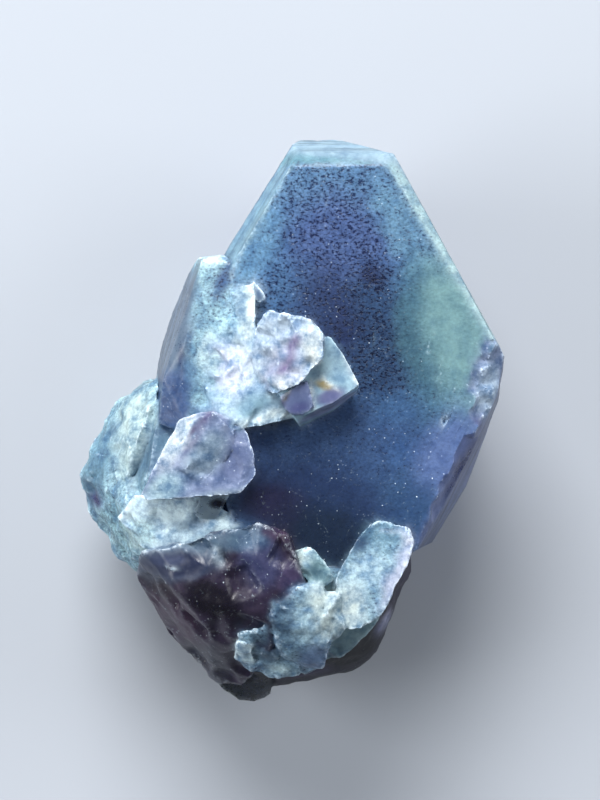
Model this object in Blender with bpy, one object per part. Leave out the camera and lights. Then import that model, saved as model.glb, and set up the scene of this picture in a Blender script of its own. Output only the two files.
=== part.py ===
"""Fluorite cluster: one intergrown, partly broken group of crystals, lying on its flat back.

Lengths are written in millimetres and turned into metres by MM. +X is to the right across
the big octahedron's front face, +Y runs up to its crown and +Z comes out of the face. The
origin is on the flat back, under the middle of the cluster.
"""
import bpy
import bmesh
from mathutils import Vector, noise

MM = 0.001

# Driving dimensions, mm.
WIDTH = 43.0            # left lobe to the octahedron's right corner
LENGTH = 57.4           # bottom tip to crown
FACE_HEIGHT = 21.0      # front face of the big octahedron above the flat back
GIRDLE_HEIGHT = 17.5    # where the octahedron's left side turns back under itself
CROWN_HEIGHT = 15.0     # outer rim of the sloping crown
PLATE_HEIGHT = 23.8     # top of the lavender cleavage plate
CUBE_HEIGHT = 25.2      # top of the small crystal on the front
CHUNK_HEIGHT = 24.0     # highest rim of the dark broken chunk
BELOW_BACK = -3.0       # how far the lumps reach down before the back is cut flat

RIGHT = WIDTH / 2
TOP = LENGTH / 2


def clear_scene():
    for thing in list(bpy.data.objects):
        bpy.data.objects.remove(thing, do_unlink=True)


def fluorite_material():
    material = bpy.data.materials.new("blue_violet_fluorite")
    material.use_nodes = True
    shader = material.node_tree.nodes["Principled BSDF"]
    shader.inputs["Base Color"].default_value = (0.07, 0.13, 0.27, 1.0)
    shader.inputs["Roughness"].default_value = 0.35
    shader.inputs["Metallic"].default_value = 0.0
    shader.inputs["IOR"].default_value = 1.434
    return material


def object_from(bm, name):
    mesh = bpy.data.meshes.new(name)
    bm.to_mesh(mesh)
    bm.free()
    thing = bpy.data.objects.new(name, mesh)
    bpy.context.collection.objects.link(thing)
    return thing


def crystal(name, corners):
    """A convex crystal or flake whose corners are the given points, in mm."""
    bm = bmesh.new()
    for corner in corners:
        bm.verts.new(Vector(corner) * MM)
    hull = bmesh.ops.convex_hull(bm, input=bm.verts)
    inner = [v for v in hull["geom_interior"] if isinstance(v, bmesh.types.BMVert)]
    bmesh.ops.delete(bm, geom=inner, context="VERTS")
    bmesh.ops.recalc_face_normals(bm, faces=bm.faces)
    return object_from(bm, name)


def slab(name, outline, height, thickness, slope=(0.0, 0.0), taper=1.0):
    """A flake with a sloping top over an outline; its underside is the outline times taper."""
    middle = sum((Vector(point) for point in outline), Vector((0, 0))) / len(outline)
    corners = []
    for point in outline:
        offset = Vector(point) - middle
        top = height + slope[0] * offset.x + slope[1] * offset.y
        corners.append((point[0], point[1], top))
        under = middle + offset * taper
        corners.append((under.x, under.y, top - thickness))
    return crystal(name, corners)


def broken(thing, edge, depth, grain, ledge=0.0, seed=0.0):
    """Weather a solid: split its faces down to edge mm and push them in by up to depth mm.

    The dents are about grain mm across. With a ledge, they go in by steps of that height.
    """
    bm = bmesh.new()
    bm.from_mesh(thing.data)
    for _ in range(8):
        long_edges = [e for e in bm.edges if e.calc_length() > edge * MM]
        if not long_edges:
            break
        bmesh.ops.subdivide_edges(bm, edges=long_edges, cuts=1)
        bmesh.ops.triangulate(bm, faces=bm.faces)
    bm.normal_update()
    moved = []
    for v in bm.verts:
        place = v.co / (grain * MM) + Vector((seed, 2 * seed, -seed))
        dent = 0.5 + 0.5 * noise.fractal(place, 1.0, 2.0, 3)
        dent = min(max(dent, 0.0), 1.0) * depth
        if ledge:
            dent = round(dent / ledge) * ledge
        moved.append(v.co - v.normal * dent * MM)
    for v, place in zip(bm.verts, moved):
        v.co = place
    bm.to_mesh(thing.data)
    bm.free()
    return thing


def combine(base, other, operation, solver="EXACT"):
    """Fuse another solid into base, or cut it away, and drop the other object.

    The EXACT solver loses a broken lump whose dents touch each other, so from the first of
    those on, the cluster is fused by the MANIFOLD solver.
    """
    boolean = base.modifiers.new(operation, "BOOLEAN")
    boolean.solver = solver
    boolean.operation = operation
    boolean.object = other
    depsgraph = bpy.context.evaluated_depsgraph_get()
    result = bpy.data.meshes.new_from_object(base.evaluated_get(depsgraph))
    base.modifiers.clear()
    base.data = result
    bpy.data.objects.remove(other, do_unlink=True)


def keep_outer_skin(thing):
    """Fill the sealed pockets left between lumps: keep only the skin with the most faces."""
    bm = bmesh.new()
    bm.from_mesh(thing.data)
    bmesh.ops.triangulate(bm, faces=bm.faces)
    skins = []
    waiting = set(bm.faces)
    while waiting:
        reached = [waiting.pop()]
        skin = set(reached)
        while reached:
            face = reached.pop()
            for neighbour in (other for edge in face.edges for other in edge.link_faces):
                if neighbour in waiting:
                    waiting.remove(neighbour)
                    skin.add(neighbour)
                    reached.append(neighbour)
        skins.append(skin)
    outer = max(skins, key=len)
    pockets = [face for skin in skins if skin is not outer for face in skin]
    bmesh.ops.delete(bm, geom=pockets, context="FACES")
    bm.to_mesh(thing.data)
    bm.free()


def big_octahedron():
    """Tabular octahedron: a broad front face, one bevel on the left and a sloping crown."""
    front = [(0.1, 25.7), (9.6, 25.8), (RIGHT - 0.6, 7.4), (RIGHT - 0.9, 3.4), (15.1, -7.6),
             (12.6, -12.6), (6.0, -16.0), (-4.0, -15.0), (-7.0, -6.0), (-5.5, 16.2)]
    crown = [(0.8, 27.2, 19.6), (9.9, 26.0, 20.6), (0.6, TOP - 0.1, CROWN_HEIGHT),
             (4.9, TOP, CROWN_HEIGHT - 0.5), (7.0, 28.1, CROWN_HEIGHT - 0.5),
             (10.4, 27.0, CROWN_HEIGHT + 1.0)]
    left_girdle = [(0.2, 28.0, GIRDLE_HEIGHT), (-6.6, 17.1, GIRDLE_HEIGHT),
                   (-12.0, 6.0, GIRDLE_HEIGHT - 2)]
    right_rim = [(10.4, 27.0, FACE_HEIGHT - 0.8), (RIGHT - 0.2, 7.1, FACE_HEIGHT - 0.6),
                 (RIGHT, 6.6, FACE_HEIGHT - 2), (RIGHT - 0.5, 2.4, FACE_HEIGHT - 5)]
    lower_right = [(19.4, -2.2, 14.0), (17.8, -6.4, 13.5), (14.4, -12.0, 13.0)]
    lower_rim = [(2.6, 23.6, 3.0), (7.2, 23.0, 2.6), (15.8, 6.6, 3.4), (14.8, -4.0, 2.8),
                 (10.0, -14.0, 3.0), (-10.0, 7.0, 4.0), (-3.0, 17.6, 4.0)]
    back = [(3.2, 20.6), (6.6, 20.4), (13.0, 7.0), (12.4, -4.0), (8.0, -12.0),
            (-3.0, -15.0), (-8.0, -6.0), (-7.6, 6.0), (-1.0, 16.0)]
    corners = [(x, y, FACE_HEIGHT) for x, y in front]
    corners += crown + left_girdle + right_rim + lower_right + lower_rim
    corners += [(x, y, BELOW_BACK) for x, y in back]
    return crystal("big_octahedron", corners)


def growth_lamellae():
    """Parallel growth: thin octahedral sheets that stand proud of the undercut right side."""
    sheets = []
    for low, high, proud in ((4.0, 7.4, 1.1), (9.2, 12.0, 0.9), (13.6, 15.6, 0.7)):
        lean = 0.32 * (FACE_HEIGHT - high)
        edge = RIGHT - lean + proud
        outline = [(5.0, 26.6 - lean + proud), (edge - 10.6, 26.2 - lean), (edge - 0.4, 7.0),
                   (edge - 1.4, 2.4), (6.0, -2.0)]
        sheets.append(slab("lamella", outline, high, high - low, taper=0.95))
    return sheets


def right_side_breaks():
    """Cutters for the broken right corner and the fractures below it."""
    corner = crystal("corner_break", [
        (18.6, 8.6, 21.6), (17.4, 5.0, 21.6), (17.2, 2.0, 21.6), (18.4, -0.8, 21.6),
        (23.5, 8.4, 19.6), (23.5, 4.0, 18.4), (23.0, -2.0, 17.0), (20.0, 4.0, 26.0)])
    nick = crystal("nick", [
        (14.9, 1.0, 21.4), (16.3, 0.8, 21.4), (15.2, -0.6, 21.4), (15.4, 0.2, 20.3)])
    side = crystal("side_break", [
        (20.0, -0.2, 22.0), (17.2, -1.2, 21.3), (14.9, -5.8, 21.2), (12.4, -12.6, 21.2),
        (16.0, -13.5, 14.5), (19.4, -6.5, 14.5), (21.5, -2.0, 14.0), (20.0, -8.0, 24.0)])
    return [broken(corner, 2.6, 0.5, 2.0, seed=3.0), nick, broken(side, 3.0, 0.5, 3.0, seed=5.0)]


def shoulder_crystal():
    """Second octahedron behind the left edge; its outer face is a smooth lens shape."""
    inner_edge = [(-8.8, 16.4, 19.6), (-9.6, 11.5, 20.4), (-10.6, 7.9, 20.6), (-12.6, 4.6, 19.8)]
    outer_curve = [(-9.2, 16.8, 17.6), (-10.3, 15.0, 15.0), (-11.5, 12.4, 13.2),
                   (-12.6, 9.4, 12.2), (-13.3, 6.8, 12.0), (-13.6, 4.6, 12.6)]
    frosted = [(-6.8, 17.0, 19.0), (-5.4, 16.0, 20.6), (-3.6, 10.0, 21.6), (-4.6, 2.0, 22.0),
               (-10.0, -1.0, 20.6), (-13.2, 0.0, 18.6)]
    back = [(-8.0, 13.0, 3.0), (-10.0, 4.0, BELOW_BACK), (-2.0, 4.0, BELOW_BACK),
            (-4.0, 14.0, 3.0), (-11.0, -4.0, BELOW_BACK)]
    return crystal("shoulder_crystal", inner_edge + outer_curve + frosted + back)


def white_mass():
    """Frosted, broken mass and the upright flake between the octahedron and the shoulder."""
    mass = crystal("white_mass", [
        (-9.4, 9.0, 21.0), (-6.5, 11.0, 22.2), (-3.2, 9.4, 23.4), (-2.2, 3.6, 24.0),
        (1.0, 0.9, 23.6), (-2.2, 0.2, 23.4), (-6.1, -0.7, 23.2), (-9.4, 1.0, 22.0),
        (-10.8, 4.6, 20.6), (-9.0, 8.0, 16.0), (-2.0, 8.0, 16.0), (0.0, 1.0, 17.0),
        (-9.0, 0.0, 16.0)])
    flake = crystal("white_flake", [
        (-6.2, 13.6, 22.4), (-3.6, 13.9, 22.2), (-3.3, 11.8, 23.2), (-3.4, 9.0, 23.8),
        (-4.4, 7.6, 23.4), (-6.8, 8.4, 22.4), (-6.8, 11.4, 22.0), (-6.0, 12.6, 18.0),
        (-4.0, 12.6, 18.0), (-4.6, 8.0, 18.0), (-6.6, 8.6, 18.0)])
    hook = crystal("hook", [
        (-3.4, 14.2, 22.0), (-2.5, 13.8, 22.1), (-2.5, 12.4, 22.0), (-3.3, 12.0, 22.0),
        (-3.6, 13.0, 22.0), (-3.4, 14.2, 20.0), (-2.5, 13.6, 20.0), (-2.6, 12.3, 20.0)])
    return [broken(mass, 2.0, 0.9, 2.4, ledge=0.25, seed=1.0),
            broken(flake, 2.0, 0.4, 1.6, ledge=0.2, seed=2.0), hook]


def front_crystal():
    """Small crystal on the front: a clear square corner under a broken white cap."""
    corner = crystal("square_corner", [
        (-2.2, 4.4, 24.6), (1.0, 8.6, 24.6), (4.0, 8.7, 24.9), (5.3, 6.9, 25.0),
        (6.9, 3.9, CUBE_HEIGHT), (4.4, 2.2, 25.0), (1.4, 0.9, 24.8), (0.4, 0.9, 24.6),
        (6.7, 3.2, 23.6), (4.2, 1.2, 22.6), (1.0, -0.3, 22.6), (0.6, 0.2, 22.6),
        (5.8, 3.2, 19.0), (1.0, 0.4, 19.0), (-2.0, 4.0, 19.0), (1.0, 8.0, 19.0), (4.0, 7.6, 19.0)])
    cap = crystal("broken_cap", [
        (-3.3, 10.0, 24.8), (-2.2, 11.3, 25.2), (0.3, 10.9, 25.8), (2.4, 10.2, 26.2),
        (3.4, 8.6, 26.6), (3.2, 6.6, 26.8), (1.7, 4.6, 26.2), (-1.2, 2.9, 25.4),
        (-2.4, 3.4, 25.0), (-3.0, 6.4, 25.0), (-2.6, 9.8, 19.0), (2.4, 9.2, 19.0),
        (2.6, 5.2, 19.0), (-1.8, 4.2, 19.0)])
    window = crystal("grey_window", [
        (-1.0, 2.8, 24.8), (1.7, 4.4, 25.6), (2.4, 1.7, 25.4), (1.3, 0.9, 25.0),
        (0.2, 0.9, 24.8), (-0.7, 1.8, 24.6), (-0.6, 2.6, 19.0), (2.0, 2.4, 19.0), (0.6, 1.2, 19.0)])
    return [corner, broken(cap, 1.7, 0.8, 2.0, ledge=0.2, seed=7.0), window]


def left_lobe():
    """Pale rounded lobe of small frosted crystals on the left."""
    upper = crystal("upper_lobe", [
        (-13.2, 5.0, 14.0), (-15.0, 4.2, 12.0), (-18.2, 2.0, 11.0), (-19.6, -0.6, 10.0),
        (-20.6, -3.0, 9.5), (-19.6, -5.5, 12.0), (-16.5, -5.6, 16.0), (-15.3, -1.0, 17.6),
        (-13.4, 3.2, 17.0), (-12.0, -2.0, 17.0), (-11.0, 4.0, 8.0), (-15.0, 2.0, 4.0),
        (-17.5, -2.0, 3.0), (-10.0, 0.0, BELOW_BACK), (-12.0, -8.0, BELOW_BACK)])
    lower = crystal("lower_lobe", [
        (-20.6, -2.6, 10.0), (-RIGHT - 0.4, -5.2, 9.0), (-21.6, -6.4, 8.6), (-19.9, -8.8, 8.6),
        (-18.2, -12.4, 9.0), (-17.8, -13.9, 9.6), (-15.6, -15.2, 11.0), (-15.0, -13.4, 17.0),
        (-16.4, -8.0, 17.4), (-17.0, -4.0, 15.6), (-12.0, -8.0, 18.0), (-12.0, -13.4, 18.4),
        (-17.6, -6.0, 2.0), (-16.0, -11.0, 2.0), (-9.0, -8.0, BELOW_BACK),
        (-10.0, -14.0, BELOW_BACK)])
    shelf = crystal("pale_shelf", [
        (-15.6, -7.2, 19.4), (-12.8, -7.4, 20.6), (-8.6, -7.4, 21.2), (-6.0, -9.0, 21.0),
        (-6.2, -10.6, 21.0), (-13.0, -12.8, 19.6), (-15.2, -12.2, 18.2), (-17.2, -9.4, 17.0),
        (-15.0, -8.0, 12.0), (-7.0, -8.0, 12.0), (-14.0, -12.0, 12.0)])
    root = crystal("lobe_root", [
        (-16.6, 0.6, 11.0), (-18.0, -6.0, 10.0), (-15.8, -12.4, 12.0), (-12.0, -16.0, 14.0),
        (-5.0, -9.6, 19.0), (-5.0, 4.0, 18.0), (-13.0, 2.0, 14.6), (-13.6, -6.0, 15.0),
        (-14.0, -3.0, 3.0), (-13.0, -10.0, 3.0), (-8.0, -18.0, 3.0), (-9.0, 0.0, BELOW_BACK),
        (-10.0, -10.0, BELOW_BACK), (-4.0, -17.0, BELOW_BACK), (-2.0, 4.0, BELOW_BACK)])
    return [broken(root, 4.0, 0.5, 4.0, seed=9.0), broken(upper, 2.6, 1.2, 3.0, seed=11.0),
            broken(lower, 2.6, 1.2, 2.6, seed=13.0),
            broken(shelf, 2.2, 0.8, 2.0, ledge=0.25, seed=17.0)]


def cleavage_plate():
    """Lavender cleavage plate, the sloping slate face on its left and the tip below it."""
    outline = [(-7.6, 1.4), (-10.9, 0.7), (-12.0, -1.6), (-15.0, -7.0), (-14.5, -7.6), (-8.4, -7.2),
               (-4.9, -6.8), (-4.1, -6.0), (-3.4, -5.2), (-3.5, -3.2), (-4.2, -0.6)]
    plate = slab("plate", outline, PLATE_HEIGHT - 0.7, 4.0, slope=(0.12, -0.02), taper=0.86)
    ridge = crystal("plate_ridge", [
        (-12.8, -4.2, 22.0), (-11.2, -0.6, 22.2), (-9.0, 0.9, 22.8), (-7.6, 1.4, 24.4),
        (-8.6, -1.6, 24.5), (-10.4, -4.6, 23.6), (-5.4, -0.8, 23.4), (-6.0, -3.4, 23.3),
        (-9.4, -6.2, 22.6), (-9.0, -2.0, 20.0), (-7.0, -1.0, 20.0)])
    under = crystal("plate_root", [
        (-13.0, -5.0, 21.0), (-10.4, 0.4, 21.0), (-4.4, -0.6, 21.4), (-4.2, -5.6, 21.4),
        (-12.4, -7.0, 21.0), (-12.0, -6.0, 12.0), (-5.0, -6.0, 12.0), (-5.0, 0.0, 12.0),
        (-11.0, 0.0, 12.0)])
    tip = crystal("clear_tip", [
        (-8.6, -7.0, 22.6), (-6.0, -7.0, 22.6), (-6.6, -8.1, 22.0), (-7.4, -9.5, 21.0),
        (-8.9, -9.5, 21.0), (-9.6, -9.0, 21.0), (-9.0, -7.0, 20.0), (-6.4, -7.0, 20.0),
        (-8.0, -9.2, 20.0)])
    return [broken(plate, 3.0, 0.35, 2.4, ledge=0.18, seed=19.0), ridge, under, tip]


def dark_chunk():
    """Dark purple broken block at the lower left, with a smooth oval face near its top."""
    chunk = crystal("dark_chunk", [
        (-15.3, -13.6, 18.0), (-14.7, -12.8, 19.6), (-13.0, -12.5, 21.0), (-6.0, -10.4, 23.4),
        (-3.2, -9.7, CHUNK_HEIGHT), (-1.8, -10.1, CHUNK_HEIGHT), (-0.4, -10.9, 23.8),
        (0.6, -13.4, 23.8), (1.6, -16.4, 23.4), (-2.2, -19.0, 23.4), (-2.0, -22.6, 21.0),
        (-4.5, -26.4, 14.0), (-7.4, -26.5, 12.0), (-9.4, -24.4, 12.0), (-11.9, -21.6, 13.0),
        (-13.9, -18.0, 14.0), (-15.4, -15.2, 15.4), (-10.6, -17.2, 21.4), (-8.0, -20.8, 20.4),
        (-12.0, -19.0, 4.0), (-8.4, -23.4, 2.0), (-2.0, -22.0, BELOW_BACK),
        (-9.0, -14.0, BELOW_BACK), (2.0, -14.0, 2.0)])
    oval = crystal("oval_face_cut", [
        (-15.0, -12.4, 22.0), (-10.4, -12.6, 24.2), (-6.6, -13.0, 24.6), (-6.4, -14.6, 23.6),
        (-9.6, -15.6, 21.6), (-13.6, -15.4, 18.6), (-11.0, -14.4, 20.4), (-12.0, -12.0, 26.0),
        (-7.0, -12.6, 26.0)])
    rim = crystal("chunk_rim", [
        (-8.6, -12.0, 23.4), (-6.9, -12.1, 24.4), (-6.7, -13.3, 24.4), (-8.2, -13.4, 23.4),
        (-8.0, -12.6, 20.0), (-7.0, -12.8, 20.0)])
    return broken(chunk, 3.4, 0.7, 3.4, ledge=0.3, seed=23.0), oval, rim


def front_crust():
    """Pale blue crust block, its root, the shard above it and the white piece on its left."""
    block = crystal("crust_block", [
        (-1.6, -17.0, 23.6), (1.0, -16.0, 24.0), (3.0, -15.8, 23.4), (4.3, -18.0, 23.4),
        (4.1, -21.4, 23.0), (3.4, -24.2, 21.0), (1.5, -25.1, 19.0), (-1.3, -22.4, 22.0),
        (-1.9, -19.1, 23.4), (-1.0, -18.0, 14.0), (3.4, -17.0, 14.0), (2.6, -24.0, 13.0),
        (-1.0, -23.4, 13.0)])
    shard = crystal("shard", [
        (0.2, -12.8, 22.8), (1.8, -12.1, 23.6), (2.7, -12.7, 23.6), (4.2, -14.9, 23.4),
        (4.6, -15.4, 23.2), (2.6, -16.6, 23.2), (0.8, -14.6, 23.2), (1.4, -13.6, 19.0),
        (3.6, -15.4, 19.0)])
    chip = crystal("white_chip", [
        (-5.4, -21.6, 21.4), (-3.9, -21.9, 21.8), (-3.6, -24.0, 19.6), (-5.6, -23.6, 19.2),
        (-4.8, -22.0, 15.0), (-4.0, -23.6, 14.0)])
    lump = crystal("front_lump", [
        (2.8, -17.0, 23.8), (5.0, -17.4, 23.8), (5.4, -20.4, 23.0), (3.6, -21.6, 22.8),
        (2.4, -19.6, 23.8), (3.4, -18.0, 18.0), (4.6, -20.4, 18.0)])
    root = crystal("crust_root", [
        (0.4, -13.8, 21.8), (4.8, -14.6, 21.6), (6.4, -17.0, 21.4), (5.0, -21.2, 20.8),
        (0.0, -21.0, 20.8), (-1.0, -16.0, 21.6), (1.0, -13.0, 8.0), (8.0, -14.0, 8.0),
        (6.0, -21.0, 8.0), (-2.0, -22.0, 8.0)])
    return [broken(root, 3.0, 0.6, 2.4, seed=27.0), broken(block, 2.2, 1.0, 1.8, ledge=0.25, seed=29.0),
            broken(shard, 2.0, 0.35, 1.4, seed=31.0), broken(chip, 2.0, 0.4, 1.2, seed=33.0),
            broken(lump, 2.0, 0.6, 1.6, seed=35.0)]


def wing_flake():
    """Pale wing-shaped flake at the lower right and the clear ledge beneath it."""
    outline = [(4.6, -15.2), (5.6, -14.4), (5.8, -13.0), (6.8, -11.3), (8.2, -9.9), (9.1, -9.5),
               (11.9, -10.3), (12.4, -11.8), (11.9, -13.2), (11.0, -15.5), (9.7, -17.0),
               (9.2, -19.0), (7.5, -20.1), (5.7, -20.4), (4.5, -19.0)]
    wing = slab("wing", outline, 22.4, 3.2, slope=(0.05, -0.06), taper=0.8)
    rim = crystal("wing_rim", [
        (9.6, -9.7, 22.8), (11.9, -10.3, 23.2), (12.4, -11.8, 23.2), (11.9, -13.2, 23.2),
        (11.0, -14.9, 22.8), (10.4, -14.2, 22.2), (10.8, -11.8, 22.6), (10.0, -11.4, 19.0),
        (11.2, -12.4, 19.0)])
    root = crystal("wing_root", [
        (5.0, -13.0, 20.6), (8.8, -10.8, 20.6), (11.2, -12.0, 20.6), (8.4, -18.6, 20.6),
        (5.2, -19.4, 20.6), (6.0, -13.0, 10.0), (10.0, -12.0, 10.0), (7.0, -18.0, 10.0)])
    ledge = crystal("clear_ledge", [
        (9.3, -17.4, 20.2), (9.1, -19.6, 19.6), (7.0, -21.7, 19.0), (5.2, -23.4, 18.4),
        (3.2, -24.0, 18.0), (3.0, -20.0, 20.6), (6.4, -17.6, 20.8), (8.0, -18.6, 12.0),
        (4.4, -22.6, 12.0), (3.6, -19.0, 12.0)])
    return [broken(wing, 2.4, 0.5, 2.0, ledge=0.2, seed=37.0), rim, root,
            broken(ledge, 2.6, 0.4, 2.2, seed=39.0)]


def dark_base():
    """Dark broken base at the lower right and the small grey tip at the very bottom."""
    base = crystal("dark_base", [
        (12.6, -12.4, 13.0), (12.5, -14.6, 12.0), (11.2, -18.0, 11.0), (10.0, -20.4, 11.0),
        (8.8, -22.0, 11.0), (8.6, -23.8, 10.0), (7.9, -24.6, 9.6), (4.8, -25.6, 9.6),
        (2.9, -26.1, 9.6), (-1.8, -27.0, 9.6), (-4.0, -25.0, 13.0), (4.0, -22.0, 18.0),
        (8.0, -18.0, 18.0), (11.0, -13.0, 18.0), (9.0, -14.0, BELOW_BACK),
        (5.0, -21.0, BELOW_BACK), (-2.0, -22.0, BELOW_BACK), (-4.0, -14.0, BELOW_BACK)])
    tip = crystal("bottom_tip", [
        (-8.4, -25.2, 11.4), (-7.2, -26.8, 10.4), (-6.0, -27.2, 10.4), (-5.2, -28.2, 9.8),
        (-4.2, -TOP, 9.4), (-3.1, -28.4, 9.4), (-2.0, -27.6, 9.4), (-1.6, -26.4, 10.6),
        (-3.0, -24.6, 13.0), (-4.4, -27.4, 6.6), (-6.6, -24.0, 4.0), (-2.4, -24.6, 5.0)])
    return [broken(base, 3.6, 0.8, 3.6, ledge=0.3, seed=41.0), broken(tip, 2.2, 0.4, 2.0, seed=43.0)]


def back_block():
    """Everything below the flat back, which is one cleavage face."""
    reach = 40.0
    corners = [(x, y, z) for x in (-reach, reach) for y in (-reach, reach) for z in (-8.0, 0.0)]
    return crystal("back_block", corners)


clear_scene()
cluster = big_octahedron()
cluster.name = "fluorite_cluster"
for cutter in right_side_breaks():
    combine(cluster, cutter, "DIFFERENCE")
for piece in growth_lamellae() + [shoulder_crystal()]:
    combine(cluster, piece, "UNION")
chunk, oval_cut, chunk_rim = dark_chunk()
combine(chunk, oval_cut, "DIFFERENCE", "MANIFOLD")
lumps = left_lobe() + cleavage_plate() + white_mass() + front_crystal() + dark_base()
lumps += [chunk, chunk_rim] + front_crust() + wing_flake()
for lump in lumps:
    combine(cluster, lump, "UNION", "MANIFOLD")
combine(cluster, back_block(), "DIFFERENCE", "MANIFOLD")
keep_outer_skin(cluster)
cluster.data.name = "fluorite_cluster"
cluster.data.materials.clear()
cluster.data.materials.append(fluorite_material())
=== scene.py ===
"""Looks of the fluorite cluster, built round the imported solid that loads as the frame.

Crystals are shaped in millimetres in the frame's axes: +X to the right across the broad
front face, +Y up to the crown, +Z out of the face. The finished cluster is in metres.
"""
import math
import bpy
import bmesh
import numpy as np
from functools import partial
from mathutils import Matrix, Quaternion, Vector, noise


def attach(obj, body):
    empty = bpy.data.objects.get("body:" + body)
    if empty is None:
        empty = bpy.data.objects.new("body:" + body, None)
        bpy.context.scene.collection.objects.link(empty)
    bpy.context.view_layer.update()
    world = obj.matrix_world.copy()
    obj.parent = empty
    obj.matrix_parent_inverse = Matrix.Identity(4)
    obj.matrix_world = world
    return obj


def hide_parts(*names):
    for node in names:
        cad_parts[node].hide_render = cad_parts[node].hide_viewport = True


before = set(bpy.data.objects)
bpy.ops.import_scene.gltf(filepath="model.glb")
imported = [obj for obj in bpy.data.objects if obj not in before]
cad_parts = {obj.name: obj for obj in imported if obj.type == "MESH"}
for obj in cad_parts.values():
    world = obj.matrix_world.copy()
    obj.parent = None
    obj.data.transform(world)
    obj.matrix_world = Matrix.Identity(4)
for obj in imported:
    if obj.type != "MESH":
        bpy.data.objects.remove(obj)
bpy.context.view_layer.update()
scene = bpy.context.scene

# ------------ the board, the light and the camera
# The cluster lies on its flat back on a plain pale matt board, under soft studio light that
# comes mostly from beyond the crown. The camera looks straight down on the front face.

METRE = 0.001


def linear(sheet_colour):
    """An sRGB hex colour as linear RGB."""
    parts = [int(sheet_colour[i:i + 2], 16) / 255 for i in (1, 3, 5)]
    return tuple(c / 12.92 if c <= 0.04045 else ((c + 0.055) / 1.055) ** 2.4 for c in parts)


def add_node(tree, kind, settings, output=0):
    """Add a node and return its output; a setting is a property, or an input's value or link."""
    made = tree.nodes.new("ShaderNode" + kind)
    for key, value in settings.items():
        if isinstance(key, str) and hasattr(made, key):
            setattr(made, key, value)
        elif isinstance(value, bpy.types.NodeSocket):
            tree.links.new(value, made.inputs[key])
        else:
            made.inputs[key].default_value = value
    return made.outputs[output]


def pale_board():
    """Matt painted board, a little uneven in tone."""
    side, gap, cloud_scale = 1.6, 0.00005, 9.0
    bpy.ops.mesh.primitive_plane_add(size=side, location=(0, 0, -gap))
    board = bpy.context.object
    board.name = "pale_board"
    paint = bpy.data.materials.new("matt_painted_board")
    paint.use_nodes = True
    tree = paint.node_tree
    add = partial(add_node, tree)
    shader = tree.nodes["Principled BSDF"]
    shader.inputs["Roughness"].default_value = 0.85
    place = add("TexCoord", {}, "Object")
    clouds = add("TexNoise", {"Vector": place, "Scale": cloud_scale, "Detail": 3.0}, "Fac")
    tone = add("Mix", {"data_type": "RGBA", 0: clouds,
                       6: (*linear("#a4aab2"), 1.0), 7: (*linear("#b0b5bd"), 1.0)}, 2)
    tree.links.new(tone, shader.inputs["Base Color"])
    board.data.materials.append(paint)


def soft_light(name, place, side, watts, colour):
    """A square softbox that faces the middle of the cluster."""
    middle = Vector((0, 0, 0.012))
    lamp = bpy.data.lights.new(name, "AREA")
    lamp.shape = "SQUARE"
    lamp.size = side
    lamp.energy = watts
    lamp.color = linear(colour)
    holder = bpy.data.objects.new(name, lamp)
    holder.location = place
    holder.rotation_euler = (middle - Vector(place)).to_track_quat("-Z", "Y").to_euler()
    scene.collection.objects.link(holder)


pale_board()
soft_light("window_softbox", (-0.08, 0.44, 0.34), 0.34, 5.8, "#ffffff")
soft_light("left_softbox", (-0.42, 0.02, 0.24), 0.26, 1.7, "#fbfdff")
soft_light("right_fill", (0.42, 0.10, 0.28), 0.28, 1.2, "#fbfdff")

dusk = bpy.data.worlds.new("studio_dusk")
dusk.use_nodes = True
glow = dusk.node_tree.nodes["Background"]
glow.inputs["Color"].default_value = (*linear("#b9bfc8"), 1.0)
glow.inputs["Strength"].default_value = 0.34
scene.world = dusk
scene.view_settings.view_transform = "Standard"


def long_lens():
    """A long lens half a metre above the front face: the view's 800 rows cover 80 mm there."""
    sensor, distance, covered_height, focus_height = 36.0, 500.0, 80.0, 20.0
    over = (1.0, 2.4)    # mm across and up the front face
    lens = bpy.data.cameras.new("long_lens")
    lens.sensor_width = sensor
    lens.lens = sensor * distance / covered_height
    lens.clip_start = 0.01
    holder = bpy.data.objects.new("long_lens", lens)
    holder.location = Vector((*over, focus_height + distance)) * METRE
    scene.collection.objects.link(holder)
    scene.camera = holder


long_lens()

# ------------ the big octahedron
# Fluorite grows as octahedra. This one is tabular and seen face on: a broad etched front
# face, a narrow bevel on the left, a sloping crown, and a broken lower right side. Thin
# sheets of parallel growth stand proud of its undercut right side.

FACE_HEIGHT = 21.0
RIGHT = 21.5
TOP = 28.7
BELOW_BACK = -3.0

# Mesh spacing, mm: fine on the front, coarser down the sides.
FINE, MIDDLING, COARSE = 0.43, 0.70, 1.70
FINE_ABOVE, COARSE_BELOW = 14.0, 3.0

# Finishes as (clarity, etch specks, frosted grain, dust and painted glints), each from 0 to 1.
ETCHED = (0.55, 1.0, 0.15, 0.5)
SATIN = (0.50, 0.15, 0.10, 0.1)
GLASSY = (0.86, 0.0, 0.05, 0.2)
FROSTED = (0.15, 0.05, 0.75, 0.5)
POROUS = (0.22, 0.70, 0.60, 0.4)


def octahedral_planes(spin=0.0):
    """The eight cleavage directions of fluorite, with one of them out of the front face."""
    upright = Vector((1, 1, 1)).rotation_difference(Vector((0, 0, 1)))
    crown = upright @ Vector((-1, 1, 1))
    turn = math.radians(90 + spin) - math.atan2(crown.y, crown.x)
    placed = Quaternion((0, 0, 1), turn) @ upright
    signs = (-1, 1)
    return [(placed @ Vector((a, b, c))).normalized() for a in signs for b in signs for c in signs]


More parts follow.
